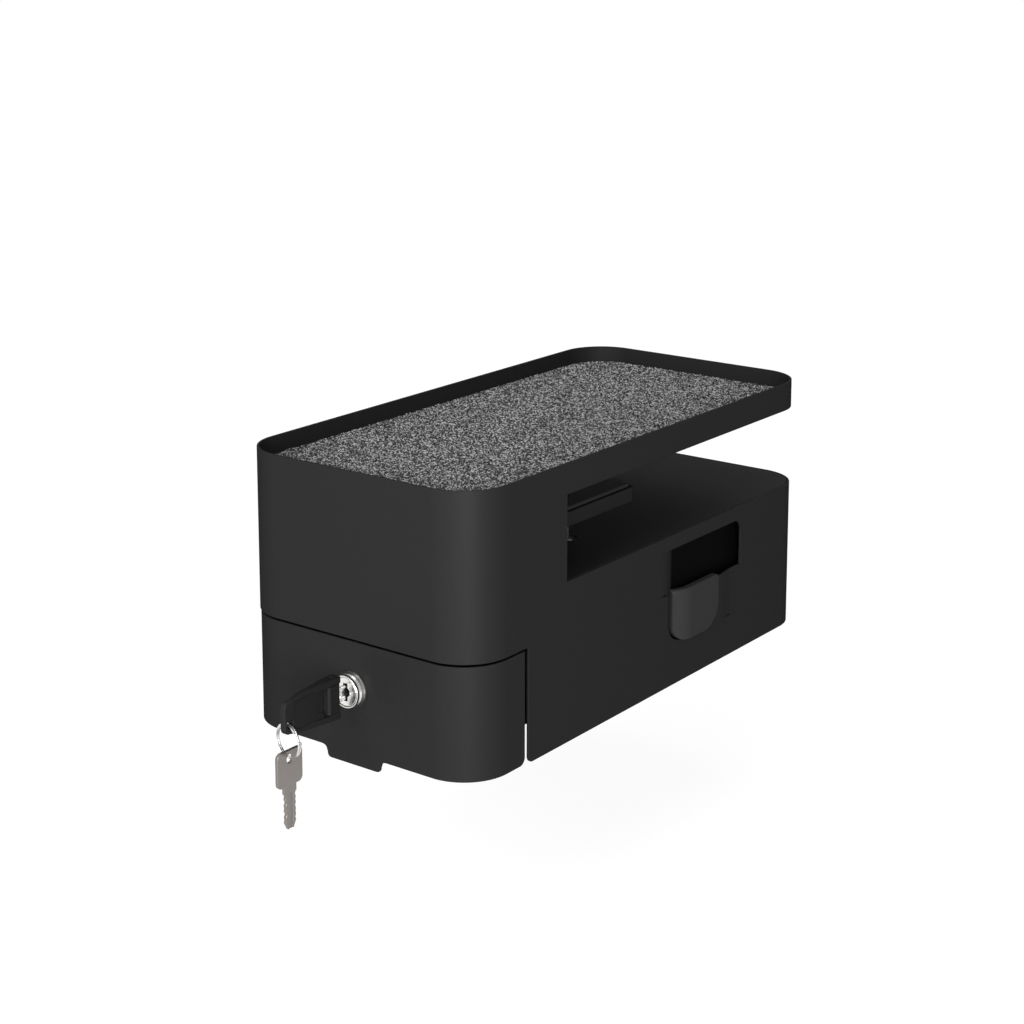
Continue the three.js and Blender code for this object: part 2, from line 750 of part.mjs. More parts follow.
function keyBlade() {
  const half = bladeWidth / 2;
  const tip = plugFace + bladeInside;
  const root = blockFront - bladeSocket;
  const bite = bladeWidth / spareTeeth / 2;
  const points = [[root, -half], [plugFace, -half]];
  for (let tooth = 0; tooth < spareTeeth; tooth += 1) {
    const start = plugFace + ((tip - bite - plugFace) * tooth) / spareTeeth;
    const next = plugFace + ((tip - bite - plugFace) * (tooth + 1)) / spareTeeth;
    points.push([(start + next) / 2, -half + spareToothDepth * (1 + (tooth % 2)) / 2], [next, -half]);
  }
  points.push([tip, -half / 2], [tip, half / 2], [tip - bite, half], [root, half]);
  const blade = across(polygon(points), -bladeThickness / 2, bladeThickness / 2);
  const groove = block(bladeThickness / 2 - spareGrooveDepth, over, root - over, tip + over,
    -spareGroove / 2, spareGroove / 2);
  return atLock(blade.subtract(groove));
}

add('key_blade', keyBlade(), 'nickelSilver');

function keyBlock() {
  const half = headThickness / 2;
  const shape = roundedBox(-half, half, blockBack, blockFront, half / 2);
  const pocket = block(-bladeThickness / 2 - seat, bladeThickness / 2 + seat, blockFront - bladeSocket - seat,
    blockFront + over, -bladeWidth / 2 - seat, bladeWidth / 2 + seat);
  const bore = upright(disc(0, pivotDepth, pinRadius + seat), -blockHeight, blockHeight, holeSteps);
  return atLock(upright(shape, -blockHeight / 2, blockHeight / 2, smallSteps).subtract(pocket).subtract(bore));
}

add('key_block', keyBlock(), 'mouldedBlack');

// Folding head: two thick arms round the block, which slope to a thin tail with a sunk panel
function headOutline(inset) {
  const top = headHeight / 2 - inset;
  const tail = headTailHeight / 2 - inset;
  const end = blockFront - headLength + inset;
  const taper = blockFront - headTaperStart;
  const outline = new THREE.Shape();
  outline.moveTo(blockFront, -top);
  outline.lineTo(blockFront, top);
  outline.lineTo(taper, top - headShoulder);
  outline.lineTo(end + headCorner, tail);
  outline.quadraticCurveTo(end, tail, end, tail - headCorner);
  outline.lineTo(end, -tail + headCorner);
  outline.quadraticCurveTo(end, -tail, end + headCorner, -tail);
  outline.lineTo(taper, -top + headShoulder);
  return outline;
}

function keyHead() {
  const half = headThickness / 2;
  const tail = headTailThickness / 2;
  const web = headWeb / 2;
  const end = blockFront - headLength;
  const reach = Math.hypot(blockLength / 2, half) + seat;
  const gap = blockHeight / 2 + seat;
  const sides = upright(polygon([
    [-half, blockFront], [-half, blockBack], [-tail, blockBack - headSlope], [-tail, end],
    [tail, end], [tail, blockBack - headSlope], [half, blockBack], [half, blockFront]]), -headHeight, headHeight);
  const fork = block(-half - over, half + over, pivotDepth, blockFront + over, -gap, gap);
  const round = upright(disc(0, pivotDepth, reach), -gap, gap, holeSteps);
  const bore = upright(disc(0, pivotDepth, pinRadius + seat), -headHeight, headHeight, holeSteps);
  const eye = disc(end + ringHoleInset, ringHoleRise - headTailHeight / 2, ringHoleRadius);
  const panel = across(headOutline(headRim), -half, half, smallSteps)
    .intersect(block(-half, half, end + headBand + ringHoleRadius, pivotDepth, -gap, gap));
  const scoop = across(disc(pivotDepth - reach, 0, scoopRadius), -half, half, holeSteps);
  const head = across(headOutline(0), -half, half, smallSteps).intersect(sides)
    .subtract(panel.subtract(block(-web, web, end, blockFront, -gap, gap)))
    .subtract(scoop.subtract(block(-scoopWeb / 2, scoopWeb / 2, end, blockFront, -gap, gap)));
  return atLock(head.subtract(fork).subtract(round).subtract(bore)
    .subtract(across(eye, -half - over, half + over, holeSteps)));
}

add('key_head', keyHead(), 'mouldedBlack');

const pinHalf = headHeight / 2 - pinSink;
add('key_pin', atLock(turnedUpright([[0, -pinHalf], [pinRadius, -pinHalf], [pinRadius, pinHalf], [0, pinHalf]],
  0, pivotDepth, holeSteps)), 'zinc');

// Split ring: one wire wound nearly twice, through the hole in the head
const holeDepth = blockFront - headLength + ringHoleInset;
const holeLevel = lockLevel - headTailHeight / 2 + ringHoleRise;
const wireHalf = ringWire / 2;
const ringTop = holeLevel - ringHang;
const ringLevel = ringTop - ringRadius;

class RingPath extends THREE.Curve {
  getPoint(t, target = new THREE.Vector3()) {
    const { degToRad } = THREE.MathUtils;
    const angle = degToRad(ringStart) + t * ringTurns * 2 * Math.PI;
    const beside = ringRadius * Math.cos(angle);
    const wound = ringPitch * (t * ringTurns - ringTurns / 2);
    const yaw = degToRad(ringYaw);
    return target.set(
      beside * Math.cos(yaw) - wound * Math.sin(yaw), holeDepth + beside * Math.sin(yaw) + wound * Math.cos(yaw),
      ringLevel + ringRadius * Math.sin(angle));
  }
}

function splitRing() {
  const section = polygon([
    [-wireHalf, -wireHalf], [wireHalf, -wireHalf], [wireHalf, wireHalf], [-wireHalf, wireHalf],
  ]);
  return toSolid(new THREE.ExtrudeGeometry(section, {
    steps: Math.round(turnSteps * ringTurns), bevelEnabled: false, extrudePath: new RingPath(),
  }));
}

add('split_ring', splitRing(), 'satinChrome');

// Spare key: hangs from the ring by the hole in its head
const spareHoleLevel = ringLevel - ringRadius - spareHang;
const spareTop = spareHoleLevel + spareHoleRadius + spareHoleEdge;

function spareKey() {
  const half = spareThickness / 2;
  const wide = spareHeadWidth / 2;
  const headLow = spareTop - spareHeadHeight;
  const neckLow = headLow - spareNeckHeight;
  const tip = neckLow - spareBladeLength;
  const neck = spareNeckWidth / 2;
  const blade = spareBladeWidth / 2;
  const bow = roundedBox(holeDepth - wide, holeDepth + wide, headLow, spareTop, spareHeadCorner);
  const pitch = (spareBladeLength - blade) / spareTeeth;
  const points = [[-neck, headLow + spareHeadCorner], [-neck, neckLow], [-blade, neckLow]];
  const right = [[neck, headLow + spareHeadCorner], [neck, neckLow], [blade, neckLow]];
  for (let tooth = 0; tooth < spareTeeth; tooth += 1) {
    const level = neckLow - pitch * tooth;
    const deep = spareToothDepth * (1 + (tooth % 2)) / 2;
    const valley = level - pitch / 2;
    points.push([-blade + deep, valley + spareToothFlat / 2], [-blade + deep, valley - spareToothFlat / 2]);
    points.push([-blade, level - pitch]);
    right.push([blade - spareToothDepth + deep / 2, valley], [blade, level - pitch]);
  }
  points.push([-spareTipWidth / 2, tip], [spareTipWidth / 2, tip]);
  const outline = polygon([...points, ...right.reverse()].map(([y, z]) => [holeDepth + y, z]));
  const hole = across(disc(holeDepth, spareHoleLevel, spareHoleRadius), -half - over, half + over, holeSteps);
  const cut = spareGroove / 2;
  const groove = block(half - spareGrooveDepth, half + over, holeDepth - cut, holeDepth + cut, tip - over, neckLow);
  return across(bow, -half, half, smallSteps).add(across(outline, -half, half)).subtract(hole).subtract(groove);
}

add('spare_key', spareKey(), 'nickelSilver');

export default locker;
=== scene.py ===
# %% [markdown]
# # A locker that hangs on a desk edge
# The locker is a folded steel body with a slot for the desk. Its tray lies on the desk with a felt
# lining, and a locking drawer hangs below. The solids are made already, and this lesson dresses them:
# rounded sheet edges, a powder coat, felt that is really made of fibres, and turned and stamped metal.

# %% Load the solids
import json
import math

import bmesh
import bpy
from mathutils import Euler, Matrix, Vector


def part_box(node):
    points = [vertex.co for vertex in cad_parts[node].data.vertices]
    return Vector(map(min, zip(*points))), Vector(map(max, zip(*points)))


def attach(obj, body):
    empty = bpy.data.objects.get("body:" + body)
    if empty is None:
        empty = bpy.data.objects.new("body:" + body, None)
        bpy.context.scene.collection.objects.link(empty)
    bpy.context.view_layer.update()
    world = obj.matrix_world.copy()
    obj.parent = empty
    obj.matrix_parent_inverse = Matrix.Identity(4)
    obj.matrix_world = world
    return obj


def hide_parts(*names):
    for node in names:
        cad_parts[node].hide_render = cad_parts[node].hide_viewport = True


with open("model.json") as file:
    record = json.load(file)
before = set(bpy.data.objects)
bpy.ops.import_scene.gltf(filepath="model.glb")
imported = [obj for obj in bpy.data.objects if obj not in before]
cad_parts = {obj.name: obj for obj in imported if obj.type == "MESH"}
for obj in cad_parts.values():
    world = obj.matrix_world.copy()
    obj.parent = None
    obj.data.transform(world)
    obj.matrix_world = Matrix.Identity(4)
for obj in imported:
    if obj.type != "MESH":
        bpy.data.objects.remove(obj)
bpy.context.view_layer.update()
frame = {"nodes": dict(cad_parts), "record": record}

scene = bpy.context.scene
record = frame["record"]
body_of = {node: body for body, nodes in record["behaviour"]["bodies"].items() for node in nodes}

# %% [markdown]
# ## The camera
# A product picture is often cut out of a wider one, so its middle isn't where the lens points. The
# camera gets the place, the turn and the focal length that put every edge of the locker where the
# picture has it, and the lens is shifted as the cut asks. Without the shift, the upright edges would
# lean.

# %% Camera
CAMERA_PLACE = (0.73666, -1.05377, 0.32528)
CAMERA_TURN = math.radians(37.3194)
CAMERA_DIP = math.radians(10.3290)
CAMERA_ROLL = math.radians(-0.0723)
PICTURE_SIDE = 1024
FOCAL_PIXELS = 2066.163
LENS_CENTRE = (498.159, 283.408)

ahead = Vector((-math.sin(CAMERA_TURN) * math.cos(CAMERA_DIP),
                math.cos(CAMERA_TURN) * math.cos(CAMERA_DIP), -math.sin(CAMERA_DIP)))
level = Vector((math.cos(CAMERA_TURN), math.sin(CAMERA_TURN), 0))
upward = level.cross(ahead)
right = math.cos(CAMERA_ROLL) * level + math.sin(CAMERA_ROLL) * upward
above = math.cos(CAMERA_ROLL) * upward - math.sin(CAMERA_ROLL) * level

lens = bpy.data.cameras.new("camera")
lens.lens = FOCAL_PIXELS * lens.sensor_width / PICTURE_SIDE
lens.shift_x = 0.5 - LENS_CENTRE[0] / PICTURE_SIDE
lens.shift_y = LENS_CENTRE[1] / PICTURE_SIDE - 0.5
camera = bpy.data.objects.new("camera", lens)
facing = Matrix((right, above, -ahead)).transposed().to_4x4()
camera.matrix_world = Matrix.Translation(CAMERA_PLACE) @ facing
scene.collection.objects.link(camera)
scene.camera = camera
print("lens", round(lens.lens, 2), "mm, shift", round(lens.shift_x, 4), round(lens.shift_y, 4))

# %% [markdown]
# ## Nodes without the clutter
# Every finish below is a small tree of shader nodes. One helper adds a node, sets its options, and
# either links or fills its inputs, so that a finish reads as a list of what it is made of.

# %% Helpers for finishes
def shade(tree, kind, inputs=None, **options):
    """One shader node, with its options set and its inputs linked or filled."""
    made = tree.nodes.new("ShaderNode" + kind)
    for name, value in options.items():
        setattr(made, name, value)
    for name, value in (inputs or {}).items():
        if isinstance(value, bpy.types.NodeSocket):
            tree.links.new(value, made.inputs[name])
        else:
            made.inputs[name].default_value = value
    return made


def grey(level, warmth=0.0):
    return (level * (1 + warmth), level, level * (1 - warmth), 1)


def begin(name, **fixed):
    """A finish with its fixed values set, and the place on the piece for its noise."""
    finish = bpy.data.materials.new(name)
    finish.use_nodes = True
    tree = finish.node_tree
    surface = tree.nodes["Principled BSDF"]
    for socket, value in fixed.items():
        surface.inputs[socket.replace("_", " ")].default_value = value
    place = shade(tree, "TexCoord").outputs["Object"]
    return finish, tree, surface, place


def spread(tree, value, low, high):
    """A 0 to 1 value, stretched to run from low to high."""
    return shade(tree, "MapRange", {"Value": value, "To Min": low, "To Max": high}).outputs["Result"]


def between(tree, value, dark, light, start=0.3, end=0.7):
    """A tone that goes from dark to light while the value goes from start to end."""
    ramp = shade(tree, "ValToRGB", {"Fac": value})
    ramp.color_ramp.elements[0].position = start
    ramp.color_ramp.elements[0].color = dark
    ramp.color_ramp.elements[1].position = end
    ramp.color_ramp.elements[1].color = light
    return ramp.outputs["Color"]


def speckle(tree, place, scale, detail=2.0, roughness=0.5, distortion=0.0):
    return shade(tree, "TexNoise", {"Vector": place, "Scale": scale, "Detail": detail,
                                    "Roughness": roughness, "Distortion": distortion}).outputs["Fac"]


def relief(tree, surface, height, depth):
    """Raises the surface by a 0 to 1 height, and gives the tilted normal back for other shaders."""
    bump = shade(tree, "Bump", {"Height": height, "Distance": depth, "Strength": 1.0})
    tree.links.new(bump.outputs["Normal"], surface.inputs["Normal"])
    return bump.outputs["Normal"]


print("finish helpers ready")

# %% [markdown]
# ## Powder coat and moulded plastic
# The steel is sprayed with a powder that is baked on, and the hook's cap and the folding key are
# moulded in a spark eroded tool. Close up both have a fine grain and a very soft orange peel, and from
# a distance they are just an even, near-black matt. Two sizes of noise make the relief, and they also
# stir the roughness a little, so that a highlight breaks up as it does on real paint. An image of
# paint would show its pixels close up, and noise doesn't.
#
# The gloss is one small, even share of the surface. A clear varnish would mirror more and more of the
# white room towards its edges, and turn the black sides grey.

# %% Powder coat and moulded plastic
PEEL_SCALE = 380
GRAIN_TONES = (0.82, 1.2)


def sprayed(name, level, gloss, low, high, grain_scale, depth):
    finish, tree, surface, place = begin(name, Specular_IOR_Level=0.0, Roughness=1.0)
    grain = speckle(tree, place, grain_scale, 3, 0.6)
    peel = speckle(tree, place, PEEL_SCALE, 1)
    dark, light = (grey(level * share) for share in GRAIN_TONES)
    tree.links.new(between(tree, grain, dark, light), surface.inputs["Base Color"])
    both = shade(tree, "Math", {0: grain, 1: peel}, operation="ADD").outputs["Value"]
    raised = relief(tree, surface, both, depth)
    dull = spread(tree, peel, low, high)
    shine = shade(tree, "BsdfGlossy", {"Roughness": dull, "Normal": raised}).outputs["BSDF"]
    layers = {"Fac": gloss, 1: surface.outputs["BSDF"], 2: shine}
    mixed = shade(tree, "MixShader", layers).outputs["Shader"]
    tree.links.new(mixed, tree.nodes["Material Output"].inputs["Surface"])
    return finish


coat = sprayed("powder_coat", 0.0135, 0.011, 0.42, 0.54, 2400, 0.00003)
cap_plastic = sprayed("cap_plastic", 0.0265, 0.011, 0.36, 0.48, 3600, 0.00002)
key_plastic = sprayed("key_plastic", 0.015, 0.012, 0.30, 0.40, 3600, 0.00002)
# A near-black with almost no gloss, used as painted shade: it darkens the brackets behind the hook's
# window and the keyway's walls, which are dark only because they are in shade.
painted_shade_black = sprayed("painted_shade_black", 0.003, 0.002, 0.50, 0.70, 1800, 0.00002)
print("made", coat.name, cap_plastic.name, key_plastic.name, "and", painted_shade_black.name)

# %% [markdown]
# ## Rubber and felt ground
# The pads are dull black rubber. The felt's ground is a heather of light and dark wool pressed
# together: the same noise that lightens it also lifts it.

# %% Rubber and felt ground
def rubber():
    finish, tree, surface, place = begin("pad_rubber", Specular_IOR_Level=0.25)
    grain = speckle(tree, place, 1500, 4, 0.65)
    tree.links.new(between(tree, grain, grey(0.008), grey(0.016)), surface.inputs["Base Color"])
    tree.links.new(spread(tree, grain, 0.75, 0.95), surface.inputs["Roughness"])
    relief(tree, surface, grain, 0.00012)
    return finish


def felt_ground():
    finish, tree, surface, place = begin("felt_ground", Specular_IOR_Level=0.1, Roughness=1.0)
    heather = speckle(tree, place, 900, 3, 0.7, 1.2)
    tone = between(tree, heather, grey(0.008), grey(0.20), 0.42, 0.6)
    tree.links.new(tone, surface.inputs["Base Color"])
    relief(tree, surface, heather, 0.0006)
    return finish


pad_rubber = rubber()
ground = felt_ground()
print("made", pad_rubber.name, "and", ground.name)

# %% [markdown]
# ## Metals
# Plated steel, satin chrome and nickel silver are all metals with a grain, and the grain's direction
# tells them apart. Rolled and stamped pieces have straight lines, made by stretching the noise. The
# lock was turned in a lathe, so its lines are rings round its own axis: the distance from the axis
# goes into the noise instead of the place.

# %% Metals
LOCK_LEVEL = sum(corner.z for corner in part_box("lock_body")) / 2
ROLLED_SHADE = 0.82
TURNED_SHADE = 0.88
RING_SCALE = 5200
RING_DEPTH = 0.000012


def rolled(name, colour, low, high, stretch, depth):
    finish, tree, surface, place = begin(name, Metallic=1.0)
    lines = shade(tree, "Mapping", {"Vector": place, "Scale": stretch}).outputs["Vector"]
    grain = speckle(tree, lines, 1.0, 4, 0.7)
    dark = tuple(part * ROLLED_SHADE for part in colour) + (1,)
    tree.links.new(between(tree, grain, dark, tuple(colour) + (1,)), surface.inputs["Base Color"])
    tree.links.new(spread(tree, grain, low, high), surface.inputs["Roughness"])
    relief(tree, surface, grain, depth)
    return finish


def turned(name, colour, low, high):
    finish, tree, surface, place = begin(name, Metallic=1.0)
    centred = shade(tree, "Mapping", {"Vector": place, "Location": (0, 0, -LOCK_LEVEL),
                                      "Scale": (1, 0, 1)}).outputs["Vector"]
    radius = shade(tree, "VectorMath", {0: centred}, operation="LENGTH").outputs["Value"]
    rings = shade(tree, "TexNoise", {"W": radius, "Scale": RING_SCALE, "Detail": 2},
                  noise_dimensions="1D").outputs["Fac"]
    dark = tuple(part * TURNED_SHADE for part in colour) + (1,)
    tree.links.new(between(tree, rings, dark, tuple(colour) + (1,)), surface.inputs["Base Color"])
    tree.links.new(spread(tree, rings, low, high), surface.inputs["Roughness"])
    relief(tree, surface, rings, RING_DEPTH)
    return finish


zinc = rolled("zinc_plate", (0.56, 0.58, 0.61), 0.30, 0.46, (2600, 120, 2600), 0.00001)
chrome = turned("satin_chrome", (0.83, 0.82, 0.80), 0.16, 0.30)
nickel = rolled("nickel_silver", (0.27, 0.25, 0.235), 0.30, 0.44, (3000, 3000, 160), 0.00001)
steel = rolled("key_steel", (0.78, 0.78, 0.77), 0.24, 0.34, (3000, 160, 3000), 0.000004)
wire = rolled("ring_wire", (0.80, 0.80, 0.80), 0.22, 0.30, (900, 900, 900), 0.000001)
print("made", zinc.name, chrome.name, nickel.name, steel.name, wire.name)

# %% [markdown]
# ## Finished pieces from the solids
# A solid comes in as loose triangles, with knife-sharp edges. A finished piece starts as a copy with
# its corners merged. The flat faces are joined again, and a narrow bevel rounds every edge, as the
# tumbling drum or the coat of powder does on the real part. Weighted normals keep the flat faces flat
# next to their rounded edges.

# %% Helpers for pieces
MERGE = 0.000002
FLAT = math.radians(0.4)
CREASE = math.radians(32)


def link(name, mesh):
    piece = bpy.data.objects.new(name, mesh)
    scene.collection.objects.link(piece)
    return piece


def dress(piece, node, finish):
    """The piece takes the finish, rides with the solid's body and stands for the solid."""
    piece.data.materials.clear()
    piece.data.materials.append(finish)
    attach(piece, body_of[node])
    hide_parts(node)
    return piece


def merged_copy(node):
    mesh = frame["nodes"][node].data.copy()
    form = bmesh.new()
    form.from_mesh(mesh)
    bmesh.ops.remove_doubles(form, verts=form.verts, dist=MERGE)
    bmesh.ops.dissolve_limit(form, angle_limit=FLAT, verts=form.verts, edges=form.edges)
    for face in form.faces:
        face.smooth = True
    form.to_mesh(mesh)
    form.free()
    for name in ("custom_normal", "sharp_face", "sharp_edge"):
        if name in mesh.attributes:
            mesh.attributes.remove(mesh.attributes[name])
    return mesh


def soften(node, finish, edge, segments=2):
    piece = link(node + "_piece", merged_copy(node))
    rounded = piece.modifiers.new("rounded_edges", "BEVEL")
    rounded.width = edge
    rounded.segments = segments
    rounded.limit_method = "ANGLE"
    rounded.angle_limit = CREASE
    rounded.use_clamp_overlap = False
    rounded.harden_normals = True
    level_faces = piece.modifiers.new("level_faces", "WEIGHTED_NORMAL")
    level_faces.keep_sharp = True
    return dress(piece, node, finish)


print("piece helpers ready")

# %% [markdown]
# ## The sheet metal
# The body, the drawer front, the drawer's box and the slot's lining are 1 to 1.5 mm sheet. The bevel
# is a quarter of a millimetre: enough for the thin bright line that the tray's rim shows.

# %% Sheet metal pieces
SHEET_EDGE = 0.00026
BOX_PANELS = ("drawer_nose", "drawer_floor", "drawer_back", "drawer_side_left",
              "drawer_side_right")
for node in ("body_shell", "drawer_front", "slot_liner", "clamp_plate", *BOX_PANELS):
    piece = soften(node, coat, SHEET_EDGE)
    print(piece.name, len(piece.data.polygons), "faces before its bevel")

# %% [markdown]
# ## Small pieces
# Screws, bushes, the lock, the keys and the hook's cap get the same treatment, each with the edge
# that its process leaves: a coin-like roll on the keys, a crisp edge on turned brass.

# %% Small pieces
SMALL_PIECES = {
    "hook_cap": (cap_plastic, 0.00045),
    "lock_body": (chrome, 0.00014),
    "lock_plug": (chrome, 0.00012),
    "lock_nut": (zinc, 0.00025),
    "cam_nut": (zinc, 0.00020),
    "lock_cam": (zinc, 0.00020),
    "cam_keeper": (zinc, 0.00020),
    "key_blade": (steel, 0.00012),
    "key_block": (key_plastic, 0.00025),
    "key_head": (key_plastic, 0.00035),
    "key_pin": (key_plastic, 0.00015),
    "spare_key": (nickel, 0.00022),
    "split_ring": (wire, 0.00018),
    "clamp_bush_1": (zinc, 0.00020),
    "clamp_bush_2": (zinc, 0.00020),
    "clamp_screw_1": (zinc, 0.00025),
    "clamp_screw_2": (zinc, 0.00025),
}
small = {node: soften(node, finish, edge) for node, (finish, edge) in SMALL_PIECES.items()}
print(len(small), "small pieces")

# %% [markdown]
# ## The bezel's flare
# The lock's bezel opens like a trumpet towards the sheet. Its cone is cut into rings, and each ring is
# pulled in to a curve: a narrow waist behind the face, then steeper and steeper. The steep part turns
# to the room and shines, where a straight cone would only mirror the black sheet behind it.

# %% Bezel flare
WAIST = 0.0004
FLARE_CUTS = 7
FLARE_POWER = 1.7


def from_axis(point):
    return math.hypot(point.x, point.z - LOCK_LEVEL)


bezel = small["lock_body"].data
form = bmesh.new()
form.from_mesh(bezel)
widest = max(from_axis(point.co) for point in form.verts)
lip = [point for point in form.verts if from_axis(point.co) > widest - MERGE]
lip_front = min(point.co.y for point in lip)
sides = [edge for edge in form.edges
         if any(point in lip for point in edge.verts)
         and min(point.co.y for point in edge.verts) < lip_front - MERGE]
start = min(min(point.co.y for point in edge.verts) for edge in sides)
narrow = min(min(from_axis(point.co) for point in edge.verts) for edge in sides)
print(len(sides), "edges along the cone, from", round(start * 1000, 2), "to",
      round(lip_front * 1000, 2), "mm")
bmesh.ops.subdivide_edges(form, edges=sides, cuts=FLARE_CUTS, use_grid_fill=True)
for point in form.verts:
    radius = from_axis(point.co)
    if start + MERGE < point.co.y < lip_front - MERGE and radius > narrow:
        along = (point.co.y - start) / (lip_front - start)
        curve = narrow + (widest - narrow) * along ** FLARE_POWER
        wanted = curve - WAIST * math.sin(math.pi * min(along * 2, 1))
        point.co.x *= wanted / radius
        point.co.z = LOCK_LEVEL + (point.co.z - LOCK_LEVEL) * wanted / radius
for face in form.faces:
    face.smooth = True
form.to_mesh(bezel)
form.free()
print("bezel", len(bezel.polygons), "faces")

# %% [markdown]
# ## The keyway's inside
# No light finds its way out of a keyway. Its walls are painted near-black as painted shade, so that
# the wavy slot reads clearly against the bright plug.

# %% Keyway
KEYWAY_RADIUS = 0.006
KEYWAY_START = 0.0002
KEYWAY_END = 0.02
plug = small["lock_plug"].data
# The keyway's walls take the near-black of painted shade in place of the plug's own metal.
plug.materials.append(painted_shade_black)
plug_front = min(point.co.y for point in plug.vertices)
inside = 0
for face in plug.polygons:
    behind = face.center.y - plug_front
    if from_axis(face.center) < KEYWAY_RADIUS and KEYWAY_START < behind < KEYWAY_END:
        face.material_index = 1
        inside += 1
print(inside, "faces inside the keyway")

# %% [markdown]
# ## Solids that stay
# Slides, brackets, pads and the tray's floor are plain folded or cut shapes, so the solids already
# look right, and only take a finish. The rail brackets behind the hook's window take the near-black
# of painted shade, so that the window reads dark.

# %% Solids that stay
STAYING = {
    "tray_floor": coat,
    # Painted shade: the brackets seen through the hook's window are near-black to stand for the shade
    # there.
    "rail_bracket_left": painted_shade_black,
    "rail_bracket_right": painted_shade_black,
    "desk_pad": pad_rubber,
    "clamp_pad": pad_rubber,
}
for member in ("outer", "middle", "inner"):
    for side in ("left", "right"):
        STAYING[f"rail_{member}_{side}"] = zinc
for node, finish in STAYING.items():
    solid = frame["nodes"][node]
    solid.data.materials.clear()
    solid.data.materials.append(finish)
print(len(STAYING), "solids keep their shape")

# %% [markdown]
# ## The felt's ground
# The lining is a rectangle of felt with round corners. A grid is cut to that outline by moving the
# points that lie beyond a corner's arc back onto it, and dropping the cells that lie outside. The
# whole grid is then extruded down to the felt's thickness.

# %% Felt sheet
FELT_CELL = 0.002
CORNER_RADIUS = 0.0282
FELT_THICKNESS = 0.002
low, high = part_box("tray_felt")
felt_middle = (low + high) / 2
half_x = (high.x - low.x) / 2
half_y = (high.y - low.y) / 2


def outside(point):
    """How far a point lies beyond the rounded outline, and the way back in."""
    corner = Vector((max(abs(point.x) - half_x + CORNER_RADIUS, 0),
                     max(abs(point.y) - half_y + CORNER_RADIUS, 0)))
    if corner.x == 0 or corner.y == 0:
        return 0.0, Vector((0, 0, 0))
    back = corner.normalized()
    way = Vector((math.copysign(back.x, point.x), math.copysign(back.y, point.y), 0))
    return corner.length - CORNER_RADIUS, way


form = bmesh.new()
bmesh.ops.create_grid(form, x_segments=round(2 * half_x / FELT_CELL),
                      y_segments=round(2 * half_y / FELT_CELL), size=1)
bmesh.ops.scale(form, vec=(half_x, half_y, 1), verts=form.verts)
stray = [face for face in form.faces if all(outside(corner.co)[0] > 0 for corner in face.verts)]
bmesh.ops.delete(form, geom=stray, context="FACES")
for point in form.verts:
    distance, way = outside(point.co)
    if distance > 0:
        point.co -= way * distance
felt_area = sum(face.calc_area() for face in form.faces)
bmesh.ops.translate(form, vec=(felt_middle.x, felt_middle.y, high.z), verts=form.verts)
grown = bmesh.ops.extrude_face_region(form, geom=form.faces[:])
under = [item for item in grown["geom"] if isinstance(item, bmesh.types.BMVert)]
bmesh.ops.translate(form, vec=(0, 0, -FELT_THICKNESS), verts=under)
bmesh.ops.recalc_face_normals(form, faces=form.faces)
felt_mesh = bpy.data.meshes.new("felt")
form.to_mesh(felt_mesh)
form.free()
felt = dress(link("felt", felt_mesh), "tray_felt", ground)
print("felt of", round(felt_area * 10000, 1), "square centimetres,", len(felt_mesh.polygons), "faces")

# %% [markdown]
# ## The felt's fibres
# What makes felt look like felt is that single fibres stand up from it and catch the light. Each is
# a small bent prism, drawn out of a triangle in steps. The face that a step leaves inside is
# deleted, so that the prism is one closed skin.

# %% One fibre
FIBRE_LENGTH = 0.0009
FIBRE_RADIUS = 0.00026
FIBRE_ARCH = 0.00028
FIBRE_STEPS = 2

form = bmesh.new()
upright = Euler((0, math.pi / 2, 0)).to_matrix().to_4x4()
bmesh.ops.create_circle(form, cap_ends=True, radius=FIBRE_RADIUS, segments=3,
                        matrix=Matrix.Translation((-FIBRE_LENGTH / 2, 0, 0)) @ upright)
for step in range(FIBRE_STEPS):
    tip = max(form.faces, key=lambda face: face.calc_center_median().x)
    grown = bmesh.ops.extrude_face_region(form, geom=[tip])
    moved = [item for item in grown["geom"] if isinstance(item, bmesh.types.BMVert)]
    bmesh.ops.translate(form, vec=(FIBRE_LENGTH / FIBRE_STEPS, 0, 0), verts=moved)
    if step > 0:
        bmesh.ops.delete(form, geom=[tip], context="FACES_ONLY")
for point in form.verts:
    along = 2 * point.co.x / FIBRE_LENGTH
    point.co.z += FIBRE_ARCH * (1 - along * along)
    point.co.y += FIBRE_ARCH * along * along * along
bmesh.ops.recalc_face_normals(form, faces=form.faces)
fibre_mesh = bpy.data.meshes.new("fibre")
form.to_mesh(fibre_mesh)
form.free()
fibre = link("fibre", fibre_mesh)
print("a fibre has", len(fibre_mesh.polygons), "faces")

# %% [markdown]
# ## Scattered by chance
# Geometry nodes scatter thousands of fibres over the ground, each turned, tipped and scaled by
# chance, and give each a tone of its own, which its finish reads. The seeds are fixed, so that every
# run gives the same felt. The result is kept as plain meshes, in five pieces, because one would be
# too heavy.

# %% Scatter the fibres
FIBRES_PER_SQUARE_METRE = 184000
FIBRE_PIECES = 5
FIBRE_SIZES = (0.6, 1.35)
FIBRE_TIP = (0.5, 0.45)


